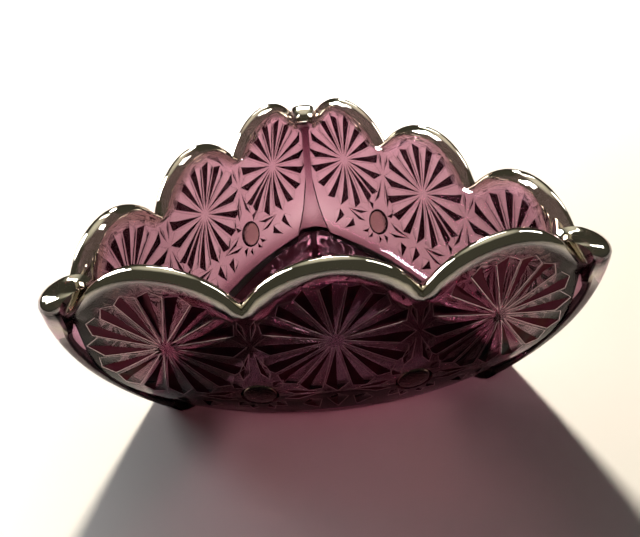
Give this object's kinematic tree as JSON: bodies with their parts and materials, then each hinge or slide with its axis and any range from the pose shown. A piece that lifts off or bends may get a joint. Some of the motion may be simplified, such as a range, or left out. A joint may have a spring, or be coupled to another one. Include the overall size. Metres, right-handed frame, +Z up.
{
  "type": "bowl",
  "caption": "Three-sided pressed amethyst glass dish with bowed starburst walls, corner ribs ending in ears, and a thick scalloped lustred rim; stands on a flat foot.",
  "frame": {"origin": "centre of the foot's flat underside, on the dish's axis", "axes": "+Z up along the dish's axis, -Y straight out through the middle of one wall, +X along that wall"},
  "size_m": [0.1698, 0.1546, 0.0703],
  "materials": {
    "glass": "fire-polished amethyst pressed glass, smoky metallic lustre on the rim"
  },
  "bodies": {
    "root": {"bowl": "glass"}
  },
  "joints": []
}
